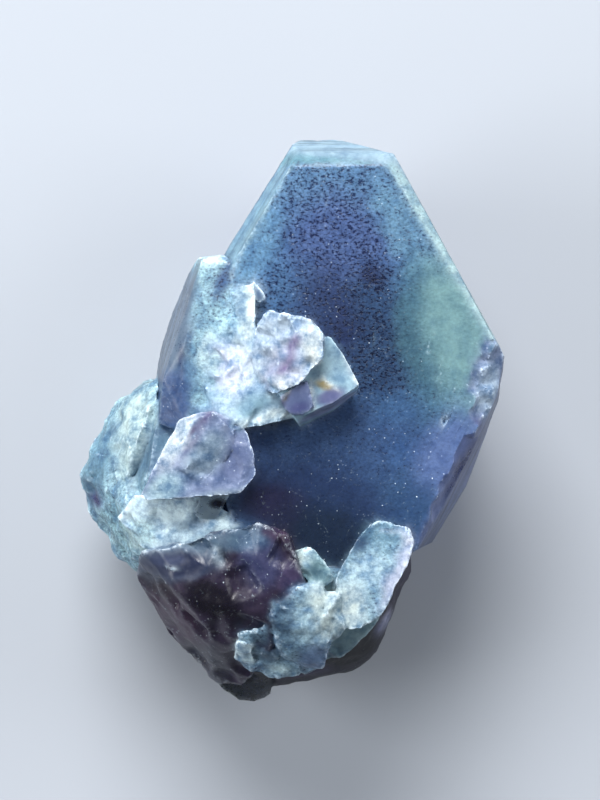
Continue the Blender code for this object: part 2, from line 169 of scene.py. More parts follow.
def crystal(corners):
    """A convex crystal whose corners are the given points, in mm."""
    bm = bmesh.new()
    for corner in corners:
        bm.verts.new(Vector(corner))
    hull = bmesh.ops.convex_hull(bm, input=bm.verts)
    inner = [v for v in hull["geom_interior"] if isinstance(v, bmesh.types.BMVert)]
    bmesh.ops.delete(bm, geom=inner, context="VERTS")
    bmesh.ops.recalc_face_normals(bm, faces=bm.faces)
    mesh = bpy.data.meshes.new("crystal")
    bm.to_mesh(mesh)
    bm.free()
    piece = bpy.data.objects.new("crystal", mesh)
    scene.collection.objects.link(piece)
    return piece


def slab(outline, height, thickness, slope=(0, 0), taper=1.0):
    """A flake with a sloping top over an outline; its underside is the outline times taper."""
    middle = sum((Vector(point) for point in outline), Vector((0, 0))) / len(outline)
    corners = []
    for point in outline:
        offset = Vector(point) - middle
        top = height + slope[0] * offset.x + slope[1] * offset.y
        under = middle + offset * taper
        corners += [(*point, top), (*under, top - thickness)]
    return crystal(corners)


def combine(base, others, operation):
    """Fuse other solids into base, or cut them away, and drop them."""
    for other in others:
        boolean = base.modifiers.new(operation, "BOOLEAN")
        boolean.solver = "MANIFOLD"
        boolean.operation = operation
        boolean.object = other
    depsgraph = bpy.context.evaluated_depsgraph_get()
    fused = bpy.data.meshes.new_from_object(base.evaluated_get(depsgraph))
    base.modifiers.clear()
    base.data = fused
    for other in others:
        bpy.data.objects.remove(other, do_unlink=True)
    return base


def smooth_step(low, high, value):
    t = min(max((value - low) / (high - low), 0.0), 1.0)
    return t * t * (3 - 2 * t)


def refine(piece, spacing):
    """Halve each face's longest edge until none is longer than its height allows."""
    points = [v.co.copy() for v in piece.data.vertices]
    faces = [tuple(face.vertices) for face in piece.data.polygons]

    def excess(a, b):
        down = 1 - smooth_step(COARSE_BELOW, FINE_ABOVE, max(points[a].z, points[b].z))
        length = (points[a] - points[b]).length
        return round(length / (spacing + (COARSE - spacing) * down), 5), min(a, b), max(a, b)

    def split(a, b, c):
        for p, q, r in ((a, b, c), (b, c, a), (c, a, b)):
            half = halves.get((min(p, q), max(p, q)))
            if half is not None:
                return split(p, half, r) + split(half, q, r)
        return [(a, b, c)]

    halves = {None: None}
    while halves:
        halves = {}
        for a, b, c in faces:
            length, low, high = max(excess(a, b), excess(b, c), excess(c, a))
            if length > 1 and (low, high) not in halves:
                halves[low, high] = len(points)
                points.append((points[low] + points[high]) / 2)
        faces = [part for face in faces for part in split(*face)]
    piece.data.clear_geometry()
    piece.data.from_pydata(points, [], faces)


SWELL = 0.35    # share of the weather's depth that stands out from the faces
PIT_FLOOR, PIT_RIM = 0.10, 0.32    # radii in a pit, as shares of the pits' spacing
LEAST_COSINE = 0.35    # between a face and a cleavage plane that it can break along
SOFT_SEAM = 0.3    # width of the seam between two breaks, as a share of their size


def dent(layer, place, normal, planes):
    """How far one layer of weather pushes a point in, mm."""
    kind, grain, depth = layer
    if kind == "waves":
        return depth * (0.5 + 0.5 * noise.fractal(place / grain, 1.0, 2.0, 4))
    reaches, cells = noise.voronoi(place / grain)
    if kind == "pits":
        return depth * (1 - smooth_step(PIT_FLOOR, PIT_RIM, reaches[0]))
    # cleaved: each cell breaks along one of the crystal's own cleavage planes, picked by its place
    cell = cells[0] * grain
    open_planes = [plane for plane in planes if plane.dot(normal) > LEAST_COSINE] or [normal]
    plane = open_planes[int(abs(noise.cell(cell * 5.1)) * 97) % len(open_planes)]
    lift = plane.dot(cell - place) / plane.dot(normal)
    inside = smooth_step(0.0, SOFT_SEAM, reaches[1] - reaches[0])
    return min(max(0.5 * depth - lift, 0.0), depth) * inside


def opened(mesh):
    """A mesh as bmesh data, with its normals."""
    bm = bmesh.new()
    bm.from_mesh(mesh)
    bm.normal_update()
    return bm


def weather(piece, layers, planes, seed):
    """Break up a refined crystal's faces. Each layer is (kind, size of its features, depth)."""
    bm = opened(piece.data)
    shift = Vector((seed * 3.1, seed * 1.7, -seed * 2.3))
    proud = SWELL * sum(layer[2] for layer in layers)
    moves = []
    for v in bm.verts:
        place, normal = v.co + shift, v.normal
        depth = sum(dent(layer, place, normal, planes) for layer in layers)
        moves.append(v.co - normal * (depth - proud))
    for v, place in zip(bm.verts, moves):
        v.co = place
    bm.to_mesh(piece.data)
    bm.free()


def mix(first, second, share):
    return tuple(a + (b - a) * share for a, b in zip(first, second))


def spot(place, centre, radii, turn, soft):
    """1 inside a turned ellipse round centre, 0 outside it, with a soft rim."""
    x, y = place[0] - centre[0], place[1] - centre[1]
    if max(abs(x), abs(y)) > max(radii) * (1 + soft):
        return 0.0
    c, s = math.cos(math.radians(turn)), math.sin(math.radians(turn))
    reach = math.hypot((x * c + y * s) / radii[0], (y * c - x * s) / radii[1])
    return 1 - smooth_step(1 - soft, 1 + soft, reach)


def beside(place, start, end, soft):
    """Goes from 0 to 1 across the line from start to end, being 1 on the line's left."""
    dx, dy = end[0] - start[0], end[1] - start[1]
    away = (dx * (place[1] - start[1]) - dy * (place[0] - start[0])) / math.hypot(dx, dy)
    return smooth_step(-soft, soft, away)


noise.seed_set(1795473696)    # so that every run bends the zones' outlines alike


def zoned(tone, finish, zones=(), drift=0.5, soft=0.45):
    """A tint that lays soft-edged colour zones over a ground tone, in order.

    Each zone is (tone, finish, centre, radii, turn, share), across the front in mm.
    """
    bay = 1.8    # mm between the bends of a zone's outline
    ground = linear(tone)
    laid = [(linear(zone[0]), *zone[1:]) for zone in zones]

    def tint(place, normal):
        wander = place + drift * noise.noise_vector(place / bay)
        colour, polish = ground, finish
        for zone_tone, zone_finish, centre, radii, turn, share in laid:
            amount = share * spot(wander, centre, radii, turn, soft)
            if amount > 0:
                colour = mix(colour, zone_tone, amount)
                polish = mix(polish, zone_finish, amount)
        return colour, polish
    return tint


TINTED = 0.0    # alpha of a tinted point's tone; a point that fusing adds has alpha 1


def paint(piece, tint):
    """Store a tint on every point: tone, and clarity, specks, frost and glints as finish."""
    bm = opened(piece.data)
    tone_layer = bm.verts.layers.float_color.new("tone")
    finish_layer = bm.verts.layers.float_color.new("finish")
    for v in bm.verts:
        tone, finish = tint(v.co, v.normal)
        v[tone_layer] = (*tone, TINTED)
        v[finish_layer] = finish
    bm.to_mesh(piece.data)
    bm.free()


def grown(piece, tint, layers=(), spacing=FINE, seed=0.0, spin=0.0):
    """Turn a plain crystal into a finished one: refined, weathered and painted."""
    refine(piece, spacing)
    if layers:
        weather(piece, layers, octahedral_planes(spin), seed)
    paint(piece, tint)
    return piece


face_zones = zoned("#5880ac", ETCHED, [
    ("#7099c0", ETCHED, (2, 23.8), (9, 2.6), 0, 0.8),
    ("#5a6ea2", ETCHED, (5, 18.2), (5.5, 4.5), -20, 0.8),
    ("#6f9cbc", (0.3, 0.5, 0.3, 0.5), (-3.6, 17), (1.8, 5), -25, 0.8),
    ("#6a93ad", (0.3, 0.6, 0.2, 0.5), (11, 19.6), (1.8, 5.6), 24, 0.8),
    ("#2f476c", ETCHED, (8, 8.5), (4.6, 7), 10, 0.8),
    ("#2c335f", (0.5, 0.8, 0.1, 0.9), (3.4, 10.5), (3.4, 5), 10, 0.7),
    ("#242a50", ETCHED, (8.1, 14.9), (1.4, 0.9), 10, 0.7),
    ("#42608e", (0.5, 0.5, 0.05, 0.6), (4, -2), (13, 4.6), 0, 0.95),
    ("#4d76a6", (0.5, 0.4, 0.1, 0.7), (10.4, 1.6), (2.2, 1.7), 0, 0.8),
    ("#456a9e", (0.5, 0.4, 0.1, 0.7), (11.4, -2.6), (1.8, 1.6), 0, 0.7),
    ("#6a82b6", (0.4, 0.2, 0.15, 0.9), (16.4, -2.8), (3.2, 5.4), -30, 0.9),
    ("#2f4570", (0.55, 0.3, 0.0, 0.5), (3, -8.5), (9, 4.6), -15, 0.95),
    ("#2e2848", (0.6, 0.2, 0.0, 0.4), (-1.6, -8.4), (3.6, 2.6), -25, 0.8),
    ("#22354f", (0.6, 0.2, 0.0, 0.6), (4, -12), (5, 4), -25, 0.9),
    ("#385a86", (0.5, 0.2, 0.1, 1.0), (12.5, -8.4), (3.2, 2.6), -40, 0.8),
    ("#4f7a88", (0.4, 0.3, 0.1, 0.3), (13.4, 8.6), (2.6, 7.4), 8, 0.8),
    ("#92c0c2", SATIN, (16.6, 9.2), (3, 7.6), 14, 0.95),
], drift=0.9)


def octahedron_tint(place, normal):
    """The zoned front face, its pale rims (the right one partly worn edge, partly a painted highlight),
    the white crown, and violet depths at the sides.
    """
    right_rim, left_bevel = ((21.1, 6.4), (9.8, 25.6)), ((-5.5, 16.2), (0.1, 25.7))
    crown_line, crown_foot, rim_depth = ((-0.6, 27.1), (10.4, 26)), 25.9, 0.7
    tone, finish = face_zones(place, normal)
    # a pale band painted along the right rim: partly pale worn edge, partly a painted highlight
    rim_wear_and_highlight = 1 - beside(place, *right_rim, 0.3)
    rim_wear_and_highlight *= smooth_step(2.0, 9.0, place.y)
    tone = mix(tone, linear("#b9d9dc"), 0.9 * rim_wear_and_highlight)
    finish = mix(finish, (0.3, 0.2, 0.4, 0.5), 0.7 * rim_wear_and_highlight)
    if place.z < FACE_HEIGHT - rim_depth:
        tone = mix(tone, linear("#6a7099"), 0.6)
        finish = mix(finish, SATIN, 0.7)
    if normal.x < -0.45 and normal.z > 0.1 and place.y > 3:
        edge = 1 - beside(place, *left_bevel, 0.5)
        tone = mix(linear("#7fa8bd"), linear("#aecfd8"), edge)
        finish = (0.4, 0.2, 0.3, 0.4)
    if place.y > crown_foot and normal.y > 0.2:
        white = beside(place, *crown_line, 0.2)
        tone = mix(linear("#62909e"), linear("#8ca8b8"), white)
        finish = mix((0.3, 0.4, 0.2, 0.4), (0.2, 0.05, 0.2, 0.3), white)
    return tone, finish


def octahedron_body():
    """The whole octahedron, ring by ring from the front face to the back."""
    front = [(0.1, 25.7), (9.6, 25.8), (RIGHT - 0.6, 7.4), (RIGHT - 0.9, 3.4), (15.1, -7.6),
             (12.6, -12.6), (6, -16), (-4, -15), (-7, -6), (-5.5, 16.2)]
    crown = [(0.8, 27.2, 19.6), (9.9, 26, 20.6), (0.6, TOP - 0.1, 15), (4.9, TOP, 14.5),
             (7, 28.1, 14.5), (10.4, 27, 16)]
    left_girdle = [(0.2, 28, 17.5), (-6.6, 17.1, 17.5), (-12, 6, 15.5)]
    right_rim = [(10.4, 27, 20.2), (RIGHT - 0.2, 7.1, 20.4), (RIGHT, 6.6, 19), (RIGHT - 0.5, 2.4, 16)]
    lower_right = [(19.4, -2.2, 14), (17.8, -6.4, 13.5), (14.4, -12, 13)]
    lower_rim = [(2.6, 23.6, 3), (7.2, 23, 2.6), (15.8, 6.6, 3.4), (14.8, -4, 2.8),
                 (10, -14, 3), (-10, 7, 4), (-3, 17.6, 4)]
    back = [(3.2, 20.6), (6.6, 20.4), (13, 7), (12.4, -4), (8, -12),
            (-3, -15), (-8, -6), (-7.6, 6), (-1, 16)]
    corners = [(x, y, FACE_HEIGHT) for x, y in front]
    corners += crown + left_girdle + right_rim + lower_right + lower_rim
    corners += [(x, y, BELOW_BACK) for x, y in back]
    return crystal(corners)


def growth_lamellae():
    """Thin octahedral sheets that stand proud of the undercut right side."""
    undercut = 0.32    # how far the side leans in for each mm down
    sheets = []
    for low, high, proud in ((4, 7.4, 1.1), (9.2, 12, 0.9), (13.6, 15.6, 0.7)):
        lean = undercut * (FACE_HEIGHT - high)
        edge = RIGHT - lean + proud
        outline = [(5.0, 26.6 - lean + proud), (edge - 10.6, 26.2 - lean), (edge - 0.4, 7.0),
                   (edge - 1.4, 2.4), (6, -2)]
        sheets.append(slab(outline, high, high - low, taper=0.95))
    return sheets


def right_side_breaks():
    """Cutters for the broken right corner and the fractures below it."""
    corner = crystal([
        (18.6, 8.6, 21.6), (17.4, 5, 21.6), (17.2, 2, 21.6), (18.4, -0.8, 21.6),
        (23.5, 8.4, 19.6), (23.5, 4, 18.4), (23, -2, 17), (20, 4, 26)])
    nick = crystal([(14.9, 1, 21.4), (16.3, 0.8, 21.4), (15.2, -0.6, 21.4), (15.4, 0.2, 20.3)])
    side = crystal([
        (20, -0.2, 22), (17.2, -1.2, 21.3), (14.9, -5.8, 21.2), (12.4, -12.6, 21.2),
        (16, -13.5, 14.5), (19.4, -6.5, 14.5), (21.5, -2, 14), (20, -8, 24)])
    patch = zoned("#8e9fc4", (0.35, 0.1, 0.5, 0.7), [
        ("#b9cfe0", FROSTED, (19.6, 3), (1.2, 3.4), -10, 0.8),
        ("#5d5f98", SATIN, (17.6, -1.6), (0.9, 3), -28, 0.9)])
    bevel = zoned("#7488c6", (0.45, 0.1, 0.2, 0.4), [
        ("#7486ba", (0.5, 0.1, 0.2, 0.5), (14, -9), (1.4, 4), -28, 0.8),
        ("#45457a", GLASSY, (17.4, -4.4), (0.8, 3.4), -30, 0.6)])
    rough = [("cleaved", 1.8, 0.5), ("waves", 0.8, 0.12)]
    return [grown(corner, patch, rough, seed=3.0),
            grown(nick, zoned("#b9cfe0", FROSTED)),
            grown(side, bevel, [("waves", 4.0, 0.4), ("cleaved", 2.6, 0.25)], seed=5.0)]


def big_octahedron():
    body = grown(octahedron_body(), octahedron_tint, [("pits", 0.8, 0.07), ("waves", 6.0, 0.05)],
                 MIDDLING, seed=1.0)
    combine(body, right_side_breaks(), "DIFFERENCE")
    sheets = [grown(sheet, zoned("#68789a", SATIN), [("waves", 3.0, 0.1)], MIDDLING)
              for sheet in growth_lamellae()]
    return combine(body, sheets, "UNION")


pieces = [big_octahedron()]

# ------------ the shoulder crystal
# A second octahedron behind the left edge. Its outer face is a smooth lens shape, its front
# is frosted and finely pitted, with one clear deep blue window.

shoulder_zones = zoned("#8cb0ba", POROUS, [
    ("#7c93ac", (0.6, 0.0, 0.1, 0.1), (-11.6, 9.5), (1.6, 6.6), -14, 1.0),
    ("#4d4580", GLASSY, (-10.4, 7.4), (0.5, 3.6), -14, 0.9),
    ("#82a6b6", POROUS, (-9, 10), (1.2, 5), -15, 0.7),
    ("#cfe4e6", FROSTED, (-7.6, 7.4), (1.4, 2.4), -15, 0.6),
    ("#dff0f2", FROSTED, (-7.8, 16.6), (1.4, 0.5), 0, 0.8),
    ("#5c86ad", (0.4, 0.2, 0.4, 0.8), (-10.6, 4.6), (1.4, 2), -20, 0.7),
    ("#3d6196", (0.5, 0.2, 0.3, 1.0), (-11.9, 2.2), (2, 3.2), -5, 1.0),
    ("#35598a", (0.5, 0.9, 0.3, 1.0), (-6.2, 14.9), (0.8, 2.8), -28, 1.0),
], drift=0.3, soft=0.25)


def shoulder_crystal():
    inner_edge = [(-8.8, 16.4, 19.6), (-9.6, 11.5, 20.4), (-10.6, 7.9, 20.6), (-12.6, 4.6, 19.8)]
    outer_curve = [(-9.2, 16.8, 17.6), (-10.3, 15, 15), (-11.5, 12.4, 13.2),
                   (-12.6, 9.4, 12.2), (-13.3, 6.8, 12), (-13.6, 4.6, 12.6)]
    frosted = [(-6.8, 17, 19), (-5.4, 16, 20.6), (-3.6, 10, 21.6), (-4.6, 2, 22),
               (-10, -1, 20.6), (-13.2, 0, 18.6)]
    back = [(-8, 13, 3), (-10, 4, BELOW_BACK), (-2, 4, BELOW_BACK),
            (-4, 14, 3), (-11, -4, BELOW_BACK)]
    body = crystal(inner_edge + outer_curve + frosted + back)
    return grown(body, shoulder_zones, [("pits", 0.7, 0.08), ("waves", 2.0, 0.12)], seed=2.0)


pieces.append(shoulder_crystal())

# ------------ the white mass
# Frosted and broken fluorite between the octahedron and the shoulder, with an upright flake
# whose right edge is clean, and a tiny curled hook beside it.

mass_zones = zoned("#b3cddb", FROSTED, [
    ("#d2d6ea", (0.25, 0.0, 0.4, 0.4), (-6.2, 5.6), (2.4, 2.6), 0, 0.9),
    ("#dde8f2", FROSTED, (-4.8, 6.4), (1.6, 1.6), 0, 0.6),
    ("#7fa9c4", (0.4, 0.1, 0.4, 0.5), (-8.8, 3), (1.4, 3.4), -20, 0.8),
    ("#86b2c8", (0.4, 0.1, 0.3, 0.4), (-3.6, 1.8), (1.6, 1.4), 0, 0.8),
    ("#6d92ae", (0.4, 0.1, 0.3, 0.4), (-1.4, 2), (1.2, 0.8), 14, 0.7),
    ("#e0ecf0", FROSTED, (-4.6, 3.8), (1.6, 0.35), -15, 0.8),
    ("#dcebea", FROSTED, (-1.6, 0.7), (3.8, 0.5), 14, 0.9),
    ("#8aacba", POROUS, (-10, 6.2), (1.8, 5.4), -12, 0.95),
    ("#a3c9d0", POROUS, (-7.4, 10.8), (2.6, 1.6), 20, 0.9),
], drift=0.7)


def white_mass():
    mass = crystal([
        (-9, 9, 20.2), (-6.5, 11.2, 21.2), (-3.2, 9.4, 23.2), (-2.2, 3.6, 24),
        (1, 0.9, 23.6), (-2.2, 0.2, 23.4), (-6.1, -0.7, 23.2), (-9.6, 1, 20.6),
        (-10.6, 4.6, 19.6), (-9, 8, 16), (-2, 8, 16), (0, 1, 17), (-9, 0, 16)])
    flake = crystal([
        (-6.2, 13.6, 20.9), (-3.6, 14, 22), (-3.4, 11.8, 22.8), (-3.4, 9, 23.3),
        (-4.4, 7.6, 22.8), (-6.8, 8.4, 21), (-6.8, 11.4, 20.7), (-6, 12.6, 18),
        (-4, 12.6, 18), (-4, 8, 18), (-6.6, 8.6, 18)])
    hook = crystal([
        (-3.7, 14.3, 21.8), (-3.1, 13.7, 22.1), (-2.6, 13.1, 22.1), (-2.4, 12.6, 22),
        (-2.6, 12.2, 21.9), (-3.1, 12.1, 22), (-3.6, 12.5, 22.2), (-3.7, 14, 20),
        (-2.9, 13.2, 20), (-2.8, 12.5, 20), (-3.5, 12.6, 20)])
    flake_zones = zoned("#b7ccd2", FROSTED, [
        ("#86acc0", POROUS, (-6.2, 11.4), (1, 2.8), -5, 0.9),
        ("#dce6e0", FROSTED, (-4, 10.8), (0.5, 2.8), -4, 0.8)], drift=0.3)
    hook_zones = zoned("#cfe2ea", FROSTED, [
        ("#5f82ac", (0.6, 0.0, 0.1, 0.1), (-3.15, 12.95), (0.3, 0.8), 24, 1.0)], drift=0.05)
    chips = [("cleaved", 3.0, 0.45), ("waves", 1.8, 0.25)]
    return [grown(mass, mass_zones, chips, seed=1.3),
            grown(flake, flake_zones, [("cleaved", 2.4, 0.3), ("waves", 1.2, 0.1)], seed=2.3),
            grown(hook, hook_zones, spacing=0.25)]


pieces += white_mass()

# ------------ the small front crystal
# A clear square corner, lavender inside, under a broken white cap, and a grey window.

cap_zones = zoned("#b0c2d2", FROSTED, [
    ("#cfd2e6", (0.3, 0.0, 0.4, 0.2), (-0.6, 5.6), (1.8, 2), 0, 0.7),
    ("#7f6aa2", (0.5, 0.0, 0.2, 0.2), (0.4, 8), (0.5, 1), -35, 0.9),
    ("#79609b", (0.5, 0.0, 0.2, 0.2), (-0.5, 5.8), (0.45, 1.5), -40, 0.9),
    ("#6f7cb0", (0.5, 0.0, 0.2, 0.2), (-2.2, 4.4), (0.4, 1.6), -20, 0.7),
    ("#dae0da", FROSTED, (2.2, 7.4), (0.9, 2.2), 10, 0.8),
    ("#e2e8ea", FROSTED, (-0.4, 3.9), (2.2, 0.6), -24, 0.8),
], drift=0.3)
corner_zones = zoned("#b2d6e6", (0.35, 0.0, 0.3, 0.5), [
    ("#e2eff0", (0.3, 0.0, 0.4, 0.5), (6, 5.4), (0.3, 2.8), 26, 0.9),
    ("#a4cade", (0.5, 0.0, 0.3, 0.5), (4.6, 6.6), (0.7, 1.4), 26, 0.7),
    ("#8288b8", (0.5, 0.0, 0.05, 0.3), (4, 2.8), (1.5, 0.7), 24, 1.0),
    ("#b3a06c", (0.3, 0.0, 0.3, 0.5), (3.3, 3.9), (0.9, 0.45), -20, 0.95),
    ("#e9efea", FROSTED, (3.9, 4.1), (1.4, 0.14), -40, 0.9),
    ("#e9efea", FROSTED, (2.2, 2.9), (0.22, 1.5), 4, 1.0),
    ("#a8b0d4", (0.5, 0.0, 0.1, 0.2), (3.8, 1.7), (3.2, 0.35), 28, 0.9),
], drift=0.12, soft=0.35)


def front_crystal():
    corner = crystal([
        (-2.2, 4.4, 24.6), (1, 8.6, 24.6), (4, 8.7, 24.9), (5.3, 6.9, 25),
        (6.9, 3.9, 25.2), (4.4, 2.2, 25), (1.4, 0.9, 24.8), (0.4, 0.9, 24.6),
        (6.7, 3.2, 23.6), (4.2, 1.2, 22.6), (1, -0.3, 22.6), (0.6, 0.2, 22.6),
        (5.8, 3.2, 19), (1, 0.4, 19), (-2, 4, 19), (1, 8, 19), (4, 7.6, 19)])
    cap = crystal([
        (-3.3, 10, 23.8), (-2.2, 11.3, 24.6), (0.3, 10.9, 25.6), (2.4, 10.2, 26.2),
        (3.4, 8.6, 26.6), (3.2, 6.6, 26.8), (1.7, 4.6, 26.2), (-1.2, 2.9, 25),
        (-2.6, 3.4, 23.8), (-3.8, 6.4, 23.2), (-2.6, 9.8, 19), (2.4, 9.2, 19),
        (2.6, 5.2, 19), (-1.8, 4.2, 19)])
    window = crystal([
        (-1, 2.8, 24.8), (1.7, 4.4, 25.6), (2.4, 1.7, 25.4), (1.3, 0.9, 25),
        (0.2, 0.9, 24.8), (-0.7, 1.8, 24.6), (-0.6, 2.6, 19), (2, 2.4, 19), (0.6, 1.2, 19)])
    window_zones = zoned("#7c8ab6", (0.5, 0.0, 0.1, 0.3), [
        ("#5a5f98", (0.5, 0.0, 0.05, 0.2), (0.9, 1.6), (0.9, 0.5), 20, 0.8),
        ("#6a6358", (0.4, 0.0, 0.2, 0.2), (-0.3, 2.9), (0.3, 0.9), -25, 0.9)], drift=0.1)
    scallops = [("cleaved", 2.4, 0.5), ("waves", 1.5, 0.25)]
    return [grown(corner, corner_zones, [("waves", 2.0, 0.06)], 0.26, seed=4.3),
            grown(cap, cap_zones, scallops, seed=7.3, spin=20),
            grown(window, window_zones, [("waves", 2.0, 0.05)], seed=5.3)]


pieces += front_crystal()

# ------------ the left lobe
# A rounded lobe of many small intergrown crystals, sugary and pale green-white, with a dark
# clear hollow where it meets the plate.

lobe_zones = zoned("#90b4c0", POROUS, [
    ("#6f9cb4", (0.4, 0.3, 0.4, 0.3), (-18.6, -2.6), (1.6, 3), -35, 0.8),
    ("#bccfca", FROSTED, (-15.8, -1), (1.8, 5), -10, 0.8),
    ("#bcd0cc", FROSTED, (-14.6, -10.4), (3.4, 2), 20, 0.8),
    ("#5f8aa3", (0.5, 0.3, 0.3, 0.3), (-20.4, -5.8), (1, 1.8), -30, 0.8),
    ("#5b7f9a", (0.4, 0.1, 0.3, 0.7), (-13.8, -2.6), (1.3, 3.6), -28, 0.95),
    ("#6f9ca6", POROUS, (-17.2, -11), (1, 3), 20, 0.6),
    ("#4f3a96", GLASSY, (-19.7, -7.9), (0.45, 0.9), 30, 1.0),
], drift=0.7)


def left_lobe():
    upper = crystal([
        (-13.2, 5, 14), (-15, 4.2, 12), (-18.2, 2, 11), (-19.6, -0.6, 10),
        (-20.6, -3, 9.5), (-19.6, -5.5, 12), (-16.5, -5.6, 16), (-15.3, -1, 17.6),
        (-13.4, 3.2, 17), (-12, -2, 17), (-11, 4, 8), (-15, 2, 4),
        (-17.5, -2, 3), (-10, 0, BELOW_BACK), (-12, -8, BELOW_BACK)])
    lower = crystal([
        (-20.6, -2.6, 10), (-RIGHT - 0.4, -5.2, 9), (-21.6, -6.4, 8.6), (-19.9, -8.8, 8.6),
        (-18.2, -12.4, 9), (-17.8, -13.9, 9.6), (-15.6, -15.2, 11), (-15, -13.4, 17),
        (-16.4, -8, 17.4), (-17, -4, 15.6), (-12, -8, 18), (-12, -13.4, 18.4),
        (-17.6, -6, 2), (-16, -11, 2), (-9, -8, BELOW_BACK), (-10, -14, BELOW_BACK)])
    shelf = crystal([
        (-15.6, -7.2, 19.4), (-12.8, -7.4, 20.6), (-8.6, -7.4, 21.2), (-5.2, -9, 21),
        (-5.2, -10.8, 20.9), (-13, -12.8, 19.6), (-15.2, -12.2, 18.2), (-17.2, -9.4, 17),
        (-15, -8, 12), (-7, -8, 12), (-14, -12, 12)])
    root = crystal([
        (-16.6, 0.6, 11), (-18, -6, 10), (-15.8, -12.4, 12), (-12, -16, 14),
        (-5, -9.6, 19), (-5, 4, 18), (-13, 2.4, 18), (-14.4, -5.6, 19),
        (-14, -3, 3), (-13, -10, 3), (-8, -18, 3), (-9, 0, BELOW_BACK),
        (-10, -10, BELOW_BACK), (-4, -17, BELOW_BACK), (-2, 4, BELOW_BACK)])
    lumps = [("waves", 3.0, 0.8), ("cleaved", 2.2, 0.35)]
    shelf_zones = zoned("#d4ebf2", FROSTED, [
        ("#6488a8", (0.6, 0.2, 0.2, 0.3), (-10, -9.9), (1.8, 0.6), 0, 0.6),
        ("#9dc1c6", POROUS, (-15, -11), (1.6, 1.4), 0, 0.7)])
    return [grown(root, lobe_zones, [("waves", 3.0, 0.5)], MIDDLING, seed=9.3),
            grown(upper, lobe_zones, lumps, seed=11.3, spin=15),
            grown(lower, lobe_zones, lumps, seed=13.3, spin=-25),
            grown(shelf, shelf_zones, [("cleaved", 2.6, 0.4), ("waves", 1.6, 0.15)], seed=17.3)]


pieces += left_lobe()

# ------------ the cleavage plate
# A lavender plate split along one cleavage plane, higher on its streaked upper left ridge,
# and the small clear tip with a dark window that sticks out below it.

plate_zones = zoned("#8696ba", (0.35, 0.1, 0.4, 0.9), [
    ("#6c7aa4", (0.4, 0.1, 0.3, 0.9), (-5.6, -3.6), (1.8, 2.2), 0, 0.8),
    ("#a9c3d2", (0.35, 0.1, 0.5, 0.9), (-8.4, -3), (1.6, 2.6), -35, 0.7),
    ("#dbe6ea", FROSTED, (-11.2, -1.6), (1.2, 3.2), -34, 0.95),
    ("#54467c", (0.5, 0.1, 0.2, 0.7), (-8.7, 0.3), (0.38, 2.3), -40, 0.95),
    ("#675c8c", (0.5, 0.1, 0.2, 0.7), (-9.6, -2), (0.3, 1.6), -38, 0.7),
    ("#a6c4cb", FROSTED, (-12.6, -6.4), (2.2, 1.4), 30, 0.8),
    ("#a9bcc8", (0.4, 0.0, 0.3, 0.3), (-7, -7), (3, 0.4), 3, 0.6),
], drift=0.4)


def cleavage_plate():
    outline = [(-7.6, 1.4), (-10.9, 0.7), (-12, -1.6), (-15, -7), (-14.5, -7.6), (-8.4, -7.2),
               (-4.9, -6.8), (-4.1, -6), (-3.4, -5.2), (-3.5, -3.2), (-4.2, -0.6)]
    plate = slab(outline, 23.1, 4.0, slope=(0.12, -0.02), taper=0.86)
    ridge = crystal([
        (-12.8, -4.2, 22), (-11.2, -0.6, 22.2), (-9, 0.9, 22.8), (-7.6, 1.4, 24.2),
        (-8.6, -1.6, 24.1), (-10.4, -4.6, 23.3), (-5.4, -0.8, 23.5), (-6, -3.4, 23.3),
        (-9.4, -6.2, 22.6), (-9, -2, 20), (-7, -1, 20)])
    under = crystal([
        (-13, -5, 21), (-10.4, 0.4, 21), (-4.4, -0.6, 21.4), (-4.2, -5.6, 21.4),
        (-12.4, -7, 21), (-12, -6, 12), (-5, -6, 12), (-5, 0, 12), (-11, 0, 12)])
    tip = crystal([
        (-8.6, -7, 22.6), (-6, -7, 22.6), (-6.6, -8.1, 22), (-7.4, -9.5, 21),
        (-8.9, -9.5, 21), (-9.6, -9, 21), (-9, -7, 20), (-6.4, -7, 20), (-8, -9.2, 20)])
    tip_zones = zoned("#9fb6c4", (0.6, 0.0, 0.1, 0.3), [
        ("#1f2540", GLASSY, (-7.2, -7.9), (0.8, 0.5), 0, 1.0)], drift=0.1)
    steps = [("cleaved", 3.0, 0.2), ("waves", 1.6, 0.12)]
    return [grown(plate, plate_zones, steps, seed=19.3),
            grown(ridge, plate_zones, steps, seed=20.3),
            grown(under, zoned("#4a5f86", SATIN), (), MIDDLING),
            grown(tip, tip_zones)]


pieces += cleavage_plate()

# ------------ the dark chunk
# A broken block of dark purple fluorite at the lower left, with conchoidal hollows, pale
# bruised rims and a smooth oval face near its top.

